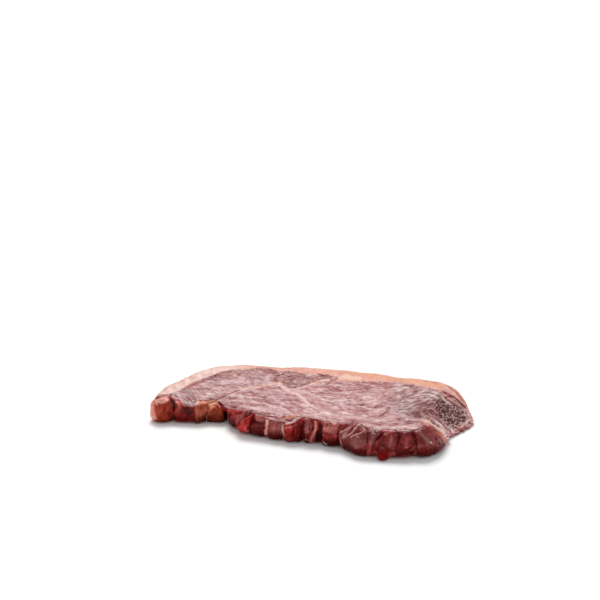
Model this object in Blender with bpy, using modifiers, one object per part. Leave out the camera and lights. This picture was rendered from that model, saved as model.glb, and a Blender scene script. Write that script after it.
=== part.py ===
"""A raw beef steak, lying flat: one uneven slab of rump with a fat cap down its left side and along its back.

Metres, +Z up, +X along the steak's length, +Y towards the fat cap. The origin is the middle of the
underside's bounding box. The slab starts as a flat outline with rounded edges, is remeshed together
with the pieces that bulge out of it, and is then shaped by the heights, seams and clefts named below.
"""

import math

import bmesh
import bpy
import numpy as np

# Main sizes
THICKNESS = 0.0235
EDGE_ROUNDING = 0.0065
CELL = 0.002
TRIANGLES = 9000

# The outline in plan, anticlockwise from the front left corner. Each point also says how far the top
# sinks towards the edge there, and over what width.
OUTLINE = [
    (-0.1410, -0.0640, 0.0015, 0.008),
    (-0.1340, -0.0695, 0.0015, 0.008),
    (-0.1225, -0.0665, 0.0040, 0.012),
    (-0.1080, -0.0640, 0.0045, 0.012),
    (-0.0920, -0.0530, 0.0035, 0.010),
    (-0.0765, -0.0455, 0.0020, 0.008),
    (-0.0680, -0.0520, 0.0015, 0.008),
    (-0.0480, -0.0680, 0.0015, 0.008),
    (-0.0200, -0.0710, 0.0020, 0.010),
    (0.0080, -0.0715, 0.0030, 0.010),
    (0.0320, -0.0680, 0.0020, 0.010),
    (0.0540, -0.0700, 0.0035, 0.016),
    (0.0760, -0.0790, 0.0050, 0.020),
    (0.0950, -0.0770, 0.0050, 0.018),
    (0.1160, -0.0690, 0.0040, 0.016),
    (0.1300, -0.0610, 0.0035, 0.016),
    (0.1370, -0.0450, 0.0040, 0.014),
    (0.1375, -0.0280, 0.0050, 0.014),
    (0.1375, -0.0080, 0.0020, 0.008),
    (0.1465, 0.0140, 0.0010, 0.008),
    (0.1490, 0.0360, 0.0010, 0.008),
    (0.1410, 0.0560, 0.0010, 0.010),
    (0.1260, 0.0735, 0.0010, 0.012),
    (0.1070, 0.0830, 0.0010, 0.012),
    (0.0760, 0.0840, 0.0008, 0.012),
    (0.0400, 0.0835, 0.0008, 0.012),
    (0.0040, 0.0830, 0.0008, 0.012),
    (-0.0300, 0.0800, 0.0010, 0.012),
    (-0.0640, 0.0715, 0.0010, 0.014),
    (-0.1070, 0.0625, 0.0010, 0.016),
    (-0.1320, 0.0440, 0.0020, 0.018),
    (-0.1430, 0.0100, 0.0020, 0.018),
    (-0.1490, -0.0280, 0.0015, 0.016),
    (-0.1470, -0.0500, 0.0010, 0.012),
]
LINE_STEPS = 5

# Broad rises and hollows of the top: middle x, middle y, half length, half width, turn in degrees, rise
SWELLS = [
    (-0.100, 0.010, 0.045, 0.050, -60, -0.0010),
    (-0.118, -0.058, 0.016, 0.012, 0, -0.0030),
    (-0.084, -0.046, 0.014, 0.010, 20, -0.0020),
    (-0.030, -0.030, 0.045, 0.035, 0, 0.0012),
    (0.078, -0.022, 0.045, 0.026, -8, -0.0026),
    (0.082, -0.066, 0.050, 0.016, 0, 0.0016),
    (0.122, -0.046, 0.020, 0.026, 10, 0.0028),
    (0.030, 0.045, 0.060, 0.030, 5, 0.0006),
]

# The right end thins to a flap: the fall starts at its first line across the steak and ends at the second
FLAP_START = 0.092
FLAP_END = 0.137
FLAP_FALL = 0.0180
FLAP_TURN = math.radians(-13)
FLAP_FRONT = (-0.030, 0.004)

# The seam between the left muscle and the front one, from the front edge to the dark muscle's hollow.
# The left muscle lies a step lower along it.
LEFT_SEAM = [
    (-0.080, -0.056),
    (-0.081, -0.036),
    (-0.077, -0.018),
    (-0.071, -0.004),
    (-0.061, 0.008),
    (-0.052, 0.022),
]
SEAM_STEP = 0.0022
SEAM_REACH = 0.020
SEAM_SLOPE = 0.006
SEAM_DEPTH = 0.0012
SEAM_WIDTH = 0.0028

# The dark muscle lies in a hollow, deepest at its pointed front, that reaches back to the fat cap
HOLLOW = [
    (-0.052, 0.024),
    (-0.041, 0.019),
    (-0.029, 0.013),
    (-0.022, 0.021),
    (-0.016, 0.032),
    (-0.007, 0.045),
    (0.004, 0.060),
    (-0.012, 0.063),
    (-0.030, 0.057),
    (-0.054, 0.057),
    (-0.060, 0.040),
]
HOLLOW_DEPTH = 0.0034
HOLLOW_SLOPE = 0.005
HOLLOW_FRONT = 0.013
HOLLOW_LENGTH = 0.048
HOLLOW_BACK_SHARE = 0.80

# The line where the meat meets the fat cap, which stands a little proud of it
CAP_LINE = [
    (-0.138, -0.066),
    (-0.133, -0.046),
    (-0.130, -0.020),
    (-0.126, 0.010),
    (-0.117, 0.032),
    (-0.100, 0.050),
    (-0.078, 0.057),
    (-0.030, 0.057),
    (0.004, 0.061),
    (0.031, 0.060),
    (0.066, 0.066),
    (0.100, 0.061),
    (0.126, 0.052),
    (0.146, 0.034),
]
CAP_RISE = 0.0010
CAP_SLOPE = 0.004

# Folds of the front wall, left to right. Each has the x of the cleft that opens it at the foot, how far
# that cleft leans to the right by the rim, the cleft's depth, and how far the fold after it bulges.
FOLDS = [
    (-0.1500, 0.0000, 0.0000, 0.0010),
    (-0.1235, -0.0040, 0.0060, 0.0008),
    (-0.1080, -0.0080, 0.0010, 0.0012),
    (-0.0930, 0.0060, 0.0022, 0.0018),
    (-0.0745, 0.0010, 0.0060, 0.0014),
    (-0.0570, -0.0010, 0.0020, 0.0024),
    (-0.0440, 0.0120, 0.0016, 0.0018),
    (-0.0240, 0.0000, 0.0014, 0.0012),
    (-0.0060, 0.0010, 0.0010, 0.0022),
    (0.0120, 0.0000, 0.0072, 0.0024),
    (0.0230, 0.0010, 0.0022, 0.0006),
    (0.0300, 0.0010, 0.0034, 0.0026),
    (0.0480, 0.0020, 0.0030, 0.0034),
    (0.0880, 0.0050, 0.0042, 0.0016),
    (0.1020, -0.0010, 0.0026, 0.0020),
    (0.1200, -0.0010, 0.0030, 0.0030),
    (0.1500, 0.0000, 0.0000, 0.0000),
]
CLEFT_WIDTH = 0.0024
WALL_REACH = 0.016
FRONT_BELOW_Y = -0.012

# The drop of flesh that hangs out of the front wall, and the knob at the left corner
DROP = ((0.0965, -0.0770, 0.0050), (0.0068, 0.0062, 0.0080))
KNOB = ((-0.1340, -0.0590, 0.0100), (0.0125, 0.0112, 0.0130))

# Gentle unevenness everywhere
UNEVEN_SIZE = 0.030
UNEVEN_RISE = 0.0004
UNEVEN_SEED = 11
UNEVEN_WAVES = 14
WALL_UNEVEN_SIZE = 0.026
WALL_UNEVEN = 0.0007
WALL_UNEVEN_SEED = 23

FOOT_LEVEL = 0.0004

MEAT_COLOUR = (0.50, 0.20, 0.20, 1.0)
MEAT_ROUGHNESS = 0.42


def clear_scene():
    for thing in list(bpy.data.objects):
        bpy.data.objects.remove(thing, do_unlink=True)


def smooth_line(points, steps=LINE_STEPS, closed=False):
    """A Catmull-Rom curve through the points, with steps places for each stretch between two of them."""
    given = np.array(points, float)
    if closed:
        before, start, end, after = (np.roll(given, shift, axis=0) for shift in (1, 0, -1, -2))
    else:
        longer = np.vstack([2 * given[0] - given[1], given, 2 * given[-1] - given[-2]])
        before, start, end, after = longer[:-3], longer[1:-2], longer[2:-1], longer[3:]
    t = np.linspace(0, 1, steps, endpoint=False)[None, :, None]
    before, start, end, after = (row[:, None, :] for row in (before, start, end, after))
    line = start + 0.5 * t * (
        end - before
        + t * (2 * before - 5 * start + 4 * end - after + t * (3 * (start - end) + after - before))
    )
    line = line.reshape(-1, given.shape[1])
    return line if closed else np.vstack([line, given[-1]])


def nearest(line, places, closed=False):
    """For each place, the line's closest point: distance, unit vector to it, side (1 is left) and index."""
    starts = line if closed else line[:-1]
    ends = np.roll(line, -1, axis=0) if closed else line[1:]
    best = np.full(len(places), np.inf)
    towards = np.zeros_like(places)
    side = np.ones(len(places))
    index = np.zeros(len(places))
    for number, (start, end) in enumerate(zip(starts, ends)):
        run = end - start
        share = np.clip((places - start) @ run / (run @ run), 0, 1)
        back = start + share[:, None] * run - places
        distance = np.hypot(back[:, 0], back[:, 1])
        closer = distance < best
        best[closer] = distance[closer]
        towards[closer] = back[closer]
        side[closer] = np.sign(run[1] * back[closer, 0] - run[0] * back[closer, 1])
        index[closer] = number + share[closer]
    return best, towards / np.maximum(best, 1e-9)[:, None], side, index


def inside(line, places):
    """True where a place is inside the closed line."""
    odd = np.zeros(len(places), bool)
    x, y = places.T
    for (x0, y0), (x1, y1) in zip(line, np.roll(line, -1, axis=0)):
        if y0 != y1:
            odd ^= ((y0 > y) != (y1 > y)) & (x < x0 + (y - y0) * (x1 - x0) / (y1 - y0))
    return odd


def ease(value):
    """0 below 0, 1 above 1 and a smooth rise between."""
    t = np.clip(value, 0, 1)
    return t * t * (3 - 2 * t)


def waves(places, size, seed, count=UNEVEN_WAVES):
    """Smooth unevenness between about -1 and 1, from seeded waves that run in all directions."""
    draw = np.random.default_rng(seed)
    total = np.zeros(len(places))
    for _ in range(count):
        direction = draw.normal(size=places.shape[1])
        direction *= 2 * math.pi / (size * draw.uniform(0.7, 1.6) * np.linalg.norm(direction))
        total += np.sin(places @ direction + draw.uniform(0, 2 * math.pi))
    return total / math.sqrt(count)


def flap_fall(places):
    """How far the top has fallen on its way to the thin right end."""
    across = places[:, 0] * math.cos(FLAP_TURN) + places[:, 1] * math.sin(FLAP_TURN)
    behind = ease((places[:, 1] - FLAP_FRONT[0]) / (FLAP_FRONT[1] - FLAP_FRONT[0]))
    return FLAP_FALL * behind * ease((across - FLAP_START) / (FLAP_END - FLAP_START))


def top_height(places, line):
    """Height of the top over each place in plan."""
    height = np.full(len(places), THICKNESS)
    for x, y, half_length, half_width, turn, rise in SWELLS:
        c, s = math.cos(math.radians(turn)), math.sin(math.radians(turn))
        along = ((places[:, 0] - x) * c + (places[:, 1] - y) * s) / half_length
        across = ((places[:, 1] - y) * c - (places[:, 0] - x) * s) / half_width
        height += rise * np.exp(-along**2 - across**2)
    height -= flap_fall(places)

    edge, _, _, index = nearest(line[:, :2], places, closed=True)
    edge[~inside(line[:, :2], places)] = 0
    numbers = np.arange(len(line) + 1)
    sink = np.interp(index, numbers, np.append(line[:, 2], line[0, 2]))
    width = np.interp(index, numbers, np.append(line[:, 3], line[0, 3]))
    height -= sink * np.clip(1 - edge / width, 0, 1) ** 2

    seam, _, side, _ = nearest(smooth_line(LEFT_SEAM), places)
    height -= SEAM_STEP * np.exp(-seam / SEAM_REACH) * ease(0.5 + side * seam / SEAM_SLOPE)
    height -= SEAM_DEPTH * np.exp(-((seam / SEAM_WIDTH) ** 2))

    hollow = smooth_line(HOLLOW, closed=True)
    rim = nearest(hollow, places, closed=True)[0]
    back = HOLLOW_BACK_SHARE * ease((places[:, 1] - HOLLOW_FRONT) / HOLLOW_LENGTH)
    height -= HOLLOW_DEPTH * (1 - back) * ease(rim / HOLLOW_SLOPE) * inside(hollow, places)

    cap, _, side, _ = nearest(smooth_line(CAP_LINE), places)
    height += CAP_RISE * ease(0.5 + side * cap / CAP_SLOPE)
    return height + UNEVEN_RISE * waves(places, UNEVEN_SIZE, UNEVEN_SEED)


def wall_shift(points):
    """How far the front wall stands out at each point: folds with clefts between them."""
    out = np.zeros(len(points))
    rise = points[:, 2] / THICKNESS
    for (x, lean, depth, bulge), (next_x, next_lean, _, _) in zip(FOLDS, FOLDS[1:]):
        left = x + lean * rise
        right = next_x + next_lean * rise
        share = (points[:, 0] - left) / (right - left)
        within = (share >= 0) & (share < 1)
        out[within] += (bulge * 4 * share * (1 - share))[within]
        out -= depth * np.exp(-(((points[:, 0] - left) / CLEFT_WIDTH) ** 2))
    return out


def outline_curve(line):
    """The slab's flat outline, thickened and rounded at both edges."""
    data = bpy.data.curves.new("steak_outline", "CURVE")
    data.dimensions = "2D"
    data.fill_mode = "BOTH"
    data.extrude = THICKNESS / 2 - EDGE_ROUNDING
    data.bevel_depth = EDGE_ROUNDING
    data.bevel_resolution = 4
    data.offset = -EDGE_ROUNDING
    spline = data.splines.new("POLY")
    spline.points.add(len(line) - 1)
    for point, (x, y) in zip(spline.points, line[:, :2]):
        point.co = (x, y, 0, 1)
    spline.use_cyclic_u = True
    curve = bpy.data.objects.new("steak_outline", data)
    curve.location.z = THICKNESS / 2
    bpy.context.scene.collection.objects.link(curve)
    return curve


def as_mesh(thing, name):
    """A mesh object with the thing's shape as it is shown, its loose seams welded, in place of the thing."""
    bpy.context.view_layer.update()
    shown = thing.evaluated_get(bpy.context.evaluated_depsgraph_get())
    mesh = bpy.data.meshes.new_from_object(shown)
    mesh.transform(thing.matrix_world)
    work = bmesh.new()
    work.from_mesh(mesh)
    bmesh.ops.remove_doubles(work, verts=work.verts, dist=0.00001)
    work.to_mesh(mesh)
    work.free()
    bpy.data.objects.remove(thing, do_unlink=True)
    solid = bpy.data.objects.new(name, mesh)
    bpy.context.scene.collection.objects.link(solid)
    return solid


def lump(name, place, radii):
    bpy.ops.mesh.primitive_uv_sphere_add(segments=24, ring_count=16, radius=1, location=place)
    ball = bpy.context.object
    ball.name = name
    ball.scale = radii
    return as_mesh(ball, name)


def joined(pieces, name):
    """One mesh object that holds the pieces' faces."""
    work = bmesh.new()
    for piece in pieces:
        work.from_mesh(piece.data)
    mesh = bpy.data.meshes.new(name)
    work.to_mesh(mesh)
    work.free()
    for piece in pieces:
        bpy.data.objects.remove(piece, do_unlink=True)
    solid = bpy.data.objects.new(name, mesh)
    bpy.context.scene.collection.objects.link(solid)
    return solid


def remeshed(thing, name):
    remesh = thing.modifiers.new("One skin", "REMESH")
    remesh.mode = "VOXEL"
    remesh.voxel_size = CELL
    remesh.adaptivity = 0
    return as_mesh(thing, name)


def shaped(points, line):
    """The slab's points moved to the steak's folds, clefts and heights."""
    plan = points[:, :2]
    edge, towards, _, _ = nearest(line[:, :2], plan, closed=True)
    inner = inside(line[:, :2], plan)
    outward = np.where(inner[:, None], towards, -towards)
    depth = np.where(inner, edge, 0)
    fade = np.clip(1 - depth / WALL_REACH, 0, 1)
    front = plan[:, 1] < FRONT_BELOW_Y
    rough = WALL_UNEVEN * waves(points, WALL_UNEVEN_SIZE, WALL_UNEVEN_SEED)
    shift = (wall_shift(points) * front + rough) * fade
    moved = plan + outward * shift[:, None]
    height = points[:, 2] / THICKNESS * top_height(moved, line)
    return np.column_stack([moved, np.maximum(height, 0)])


def finished(thing, name):
    """Fewer triangles, a flat foot, and the middle of the box over the origin."""
    shown = len(thing.data.polygons) * 2
    thin = thing.modifiers.new("Fewer faces", "DECIMATE")
    thin.decimate_type = "COLLAPSE"
    thin.ratio = TRIANGLES / shown
    solid = as_mesh(thing, name)
    corners = [vertex.co for vertex in solid.data.vertices]
    middle_x = (min(co.x for co in corners) + max(co.x for co in corners)) / 2
    middle_y = (min(co.y for co in corners) + max(co.y for co in corners)) / 2
    for co in corners:
        co.x -= middle_x
        co.y -= middle_y
        if co.z < FOOT_LEVEL:
            co.z = 0
    return solid


def meat():
    material = bpy.data.materials.new("raw_meat")
    material.use_nodes = True
    shader = material.node_tree.nodes["Principled BSDF"]
    shader.inputs["Base Color"].default_value = MEAT_COLOUR
    shader.inputs["Roughness"].default_value = MEAT_ROUGHNESS
    return material


def build():
    clear_scene()
    line = smooth_line(OUTLINE, closed=True)
    slab = as_mesh(outline_curve(line), "slab")
    lumps = [lump("drop", *DROP), lump("knob", *KNOB)]
    steak = remeshed(joined([slab] + lumps, "pieces"), "slab")

    mesh = steak.data
    points = np.empty(len(mesh.vertices) * 3, np.float32)
    mesh.vertices.foreach_get("co", points)
    points = shaped(points.reshape(-1, 3).astype(float), line)
    mesh.vertices.foreach_set("co", points.astype(np.float32).ravel())
    mesh.update()

    steak = finished(steak, "steak")
    steak.data.materials.append(meat())
    steak.data.shade_smooth()

    collection = bpy.data.collections.new("raw_beef_steak")
    bpy.context.scene.collection.children.link(collection)
    bpy.context.scene.collection.objects.unlink(steak)
    collection.objects.link(steak)


build()
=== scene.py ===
"""A raw beef steak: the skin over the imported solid, with its seams, folds, grain and fat, on a pale floor.

Metres, +Z up, +X along the steak's length, +Y towards the fat cap. Marks on the surface are placed by the
photograph's pixels, 600 x 600, and painted and carved where those pixels fall on the solid.
"""

import math

import bmesh
import bpy
import numpy as np
from mathutils import Matrix, Vector


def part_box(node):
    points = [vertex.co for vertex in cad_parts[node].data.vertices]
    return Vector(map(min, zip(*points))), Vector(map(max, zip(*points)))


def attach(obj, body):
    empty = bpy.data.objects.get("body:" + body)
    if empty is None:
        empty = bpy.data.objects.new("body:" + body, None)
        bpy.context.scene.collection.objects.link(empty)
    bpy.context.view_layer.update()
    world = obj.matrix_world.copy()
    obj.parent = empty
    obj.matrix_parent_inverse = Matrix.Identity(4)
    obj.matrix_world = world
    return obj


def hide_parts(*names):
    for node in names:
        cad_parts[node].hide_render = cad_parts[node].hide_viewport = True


# Camera: place, the way it looks, and focal length in pixels of the 600-pixel frame
CAMERA_PLACE = (0.47955, -1.25306, 0.4959)
CAMERA_RIGHT = (0.9301, 0.3674, 0.0)
CAMERA_AHEAD = (-0.3537, 0.8954, -0.2706)
FOCAL_PIXELS = 1461.18
FRAME_PIXELS = 600
SENSOR_WIDTH = 36.0
CLIP_END = 100.0

# Light, and the floor
WORLD_LIGHT_LOW = 0.2
WORLD_LIGHT_HIGH = 0.8
WORLD_COLOUR = (0.97, 0.985, 1.0)
SKY_TOWARDS = (-0.26, 0.56, 0.79)
SKY_POWER = 2.25
SKY_SPREAD = math.radians(26)
FLOOR_SIZE = 30.0
FLOOR_LEVEL = -0.0002
FLOOR_COLOUR = (0.93, 0.925, 0.915)
FLOOR_CLOUDS = 0.985
FLOOR_CLOUD_SCALE = 2.0
FLOOR_ROUGHNESS = 0.7
FLOOR_IOR = 1.3

# The skin's material: how light bends, how far it goes in, and the fine patterns' turn, stretch, scales and
# ranges
MEAT_IOR = 1.36
DEPTH_WEIGHT = 0.12
DEPTH_RADIUS = (1.0, 0.35, 0.25)
DEPTH_SCALE = 0.0015
PATTERN_TURN = math.radians(-21)
PATTERN_STRETCH = (0.45, 1.0, 1.0)
PATTERN_DETAIL = 3.0
MOTTLE_SCALE = 900.0
MOTTLE_FROM = (0.25, 0.75)
MOTTLE_TO = (0.84, 1.14)
WETNESS_SCALE = 260.0
WETNESS_DETAIL = 2.0
WETNESS_TO = (-0.12, 0.12)
BUMP_SCALE = 700.0
BUMP_STRENGTH = 0.35
BUMP_DEPTH = 0.0005

# How bright the top and the sides come out of the render, for turning a colour seen into a pigment
LIGHT_ON_TOP = 0.98
LIGHT_ON_SIDE = 0.59
SHEEN_ON_TOP = 0.135
SHEEN_ON_SIDE = 0.026
LEAST_PIGMENT = 0.35

# Unseen sides: fat beyond this far across, or left of this far along, and how soft that is along and across,
# in mm
FAT_FROM_Y = 20.0
FAT_TO_X = -128.0
FAT_SOFTNESS = (8.0, 15.0)
# Underneath: how far across the fat starts, how far its edge wanders and how soft it is, in mm
FAT_BELOW_FROM_Y = 58.0
FAT_BELOW_WANDER = 5.0
FAT_BELOW_SOFTNESS = 6.0
# The hollow behind the lobe at the right end, which the photograph doesn't show, in mm
HOLLOW_FROM_X = 110.0
HOLLOW_FROM_Y = -27.0
HOLLOW_TO_Y = 14.0
HOLLOW_SOFTNESS = 5.0
HOLLOW_RIM = 2.0

# The skin's mesh
CELL = 0.002
SMOOTHING_STEPS = 14
FINE_SMOOTHING_STEPS = 2
SMOOTH_PUSH = 0.55
SMOOTH_PULL = -0.57
FOOT_HEIGHT = 0.0007
HEADROOM = 0.0005
# A face lower than this and turned down more than this is part of the flat underside
UNDERSIDE_TOP = 0.001
TURNED_DOWN = -0.5
# Fine cells: on faces turned to the camera this much, and right of and below a pixel
LEAST_FACING = 0.12
FRONT_FACING = 0.52
FINE_FROM_X = 426
FINE_FROM_Y = 396
# How much a face has to be turned to the camera to count as seen in full
SEEN_SOFTNESS = 0.10

# The random fields: how far apart the layers' patterns lie, how much finer each is, and the waves' height
LAYER_SHIFT = 17.3
LAYER_SCALE = 2.03
WAVE_HEIGHT = 1.5
# How marks wander from their places: the waves' size in mm, and how far in pixels
WANDER_SIZE = 5.0
WANDER_SHIFT = 40.0
WANDER_PIXELS = (0.5, 0.35)

MM = 0.001
FAR = 1e9
TINY = 1e-12

# Colours as seen, in the 0 to 255 scale
TONES = {
    "cap_left": (240, 206, 196),
    "cap_back": (231, 172, 157),
    "cap_orange": (233, 175, 142),
    "cap_wedge": (243, 208, 184),
    "cap_side": (226, 176, 152),
    "cream": (240, 206, 199),
    "cream_orange": (236, 190, 170),
    "orange": (226, 154, 118),
    "orange_red": (188, 80, 62),
    "tan": (192, 120, 104),
    "brown": (84, 32, 19),
    "salmon": (186, 108, 95),
    # The next four tones are painted sheen and highlights, the silvery one laid over the silvery membrane.
    "pale": (226, 200, 198),
    "ridge": (220, 184, 182),
    "white": (230, 202, 198),
    "silver_sheen": (206, 188, 188),
    # Painted shade in the creases among the sheen.
    "crease_shade_grey": (132, 92, 90),
    "lilac": (206, 174, 174),
    "muscle_left": (201, 162, 159),
    "muscle_left_back": (181, 134, 130),
    "muscle_dark": (166, 98, 92),
    "muscle_dark_deep": (150, 82, 76),
    "muscle_front": (199, 153, 153),
    # Painted wet highlight on the front muscle.
    "muscle_front_highlight": (202, 162, 161),
    "muscle_back": (182, 124, 121),
    "muscle_mid": (200, 156, 154),
    "muscle_right": (178, 144, 142),
    "rose": (197, 144, 140),
    # Painted shade in the creases.
    "fold_shade": (158, 80, 78),
    "seam": (150, 76, 73),
    "red": (168, 88, 82),
    "line_red": (144, 74, 70),
    "deep_red": (106, 34, 28),
    "bright_red": (146, 46, 44),
    "drop_red": (100, 12, 14),
    "flesh": (134, 54, 52),
    "flesh_dark": (96, 34, 32),
    "flesh_grey": (128, 72, 70),
    "flesh_pale": (150, 88, 84),
    # The next three are painted shadow in clefts, gaps and sunk lobes.
    "wine_shadow": (70, 19, 17),
    "gap": (58, 15, 12),
    "cleft_shadow": (22, 10, 9),
    "grain_gap": (62, 24, 22),
    "fat_pink": (226, 170, 161),
    "sinew": (184, 118, 108),
    # Painted glints on the grainy patch's ridges.
    "grain_glint": (206, 172, 168),
    "underside": (150, 60, 58),
    "knob_top": (206, 146, 134),
    "knob_left": (190, 120, 106),
    "knob_front": (138, 60, 48),
    # Painted shade at the knob's foot.
    "knob_foot": (112, 38, 26),
    "recess": (94, 20, 14),
    "tan_brown": (143, 75, 60),
    "tan_top": (206, 128, 108),
    "gusset": (126, 58, 40),
    "gusset_top": (198, 120, 90),
    # Painted highlight on the lobes' upper parts.
    "lobe_highlight": (148, 104, 102),
    "lobe_grey": (112, 66, 66),
    "lobe_mid": (112, 52, 51),
    "lobe_dark": (96, 38, 39),
    "lobe_red": (136, 42, 42),
    "flap_red": (150, 28, 32),
    # The next two are painted shade at the foot of the front lobes and in their grooves.
    "foot_red": (68, 11, 10),
    "foot_dark": (64, 15, 12),
    "strand_pale": (206, 164, 158),
    "ridge_red": (172, 98, 90),
    "cap_end": (224, 176, 164),
}

# Outlines and lines are written as x,y pairs, and they and softnesses are in pixels.

# Fat cap on the top, from its inner edge to the back rim
CAP_ZONE = (
    "146,401 152,397.6 160,395.2 170,394.2 180,390 189.8,385 194.7,382.3 199.5,380.8 204.4,378.2 "
    "211,375.6 219.5,372 226.2,370.5 232.3,369.3 239.5,368.8 250.7,369.3 259.6,368.1 266,368.7 "
    "276.2,370.9 288,371.5 298,373 306,374.6 317,374.6 327,374.7 337,376 340,378.6 330,380.6 345,380.8 "
    "365,381.3 385,381.6 400,382.6 415,385 430,388 440,390.2 452,395.6 458,399.8 465,407 470,413 482,405 "
    "470,370 300,340 140,350"
)
CAP_SOFTNESS = 0.5
# The cap's right end, darker and stringy
CAP_END = "440,388 447,382 453,386 462,394 471,404 478,417 468,413 461,403 453,396 444,391.6"
CAP_END_SOFTNESS = 1.5
# Where the cap's left tone gives way to the back's, and over how many pixels
CAP_BACK_FROM = 225
CAP_BACK_OVER = 40
# Zones of the top: tone, how soft the edge is in pixels, outline
TOP_ZONES = [
    ("muscle_left", 2.0,
     "168,396 180,390 200,380 215,374 232,369 276,370.5 284,374 281,384 262,386 245,388.5 229,394 "
     "222,399 205,403 196,406 186,406 172,400"),
    ("muscle_left_back", 1.6,
     "199,381 212,375 228,370 246,369.6 262,369 276,371 283,374 280,380 266,379.4 246,378.4 228,378 "
     "212,378.6"),
    ("lilac", 1.4,
     "206,380.5 222,379.6 240,380 262,380.6 276,381.8 264,384.4 246,386.4 226,383.4 208,383.2"),
    ("muscle_front", 1.2,
     "217,401 224,397 234,392 245,389 262,386.6 280,383 287,388 298,392 306,399 311,406 304,414 297,420 "
     "283,424 266,419 252,411 238,409 228,409"),
    # The next two lighter patches are a painted wet highlight on the front muscle.
    ("muscle_front_highlight", 1.8, "226,399 236,393 250,390 268,389.5 262,394.5 248,398 238,402 228,403"),
    ("muscle_front_highlight", 1.6, "240,405 256,406 276,405 292,410 297,415 284,416 268,413.5 250,409"),
    ("muscle_mid", 1.2,
     "289,389 305,386 326,381 345,381.4 400,383.6 440,391 452,399 446,421 432,423 418,424 400,427 "
     "384,429 366,427 345,421 322,415 312,407 304,397"),
    ("muscle_back", 1.8,
     "318,384.4 330,381.4 345,381.4 366,381.6 390,382.6 398,385 384,390 366,393 346,392.5 330,389.6"),
    ("rose", 2.0, "297,389 310,386 328,389 344,394 336,398 316,396 304,394"),
    ("muscle_right", 2.0, "392,396 412,394 432,396 438,402 432,410 424,418 404,420 392,412"),
    ("muscle_dark", 0.9,
     "280,372.6 288,371.9 300,374.4 317,376 327,375.2 333,376 330,378.6 318,381.6 308,384.6 297,387.2 "
     "289.6,387 285.2,384.8 281.3,381.4 277,378"),
    ("muscle_dark_deep", 1.1, "286,383.6 294,381 306,380.4 312,382 304,385.2 297,386.8 290,386.6"),
]
# The dark grainy patch at the right end, where the flap falls
GRAIN_ZONE = (
    "438,398 444,397.6 449,401 455,406 462,409.4 467,413 468.6,417.6 465.6,422 460.6,426 455.6,430 "
    "450,428.4 444.6,423.6 439.4,418 435.6,412 432,406.4 433.4,401"
)
GRAIN_SOFTNESS = 2.6
GRAIN_EDGE_WANDER = 2.0
# Its pits: the way they run in degrees, their length and width in pixels, their depth in plan in mm, and how
# far they wander
GRAIN_TURN = 38
GRAIN_LENGTH = 4.0
GRAIN_WIDTH = 2.5
GRAIN_DEPTH = 15.0
GRAIN_WANDER = 1.0
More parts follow.
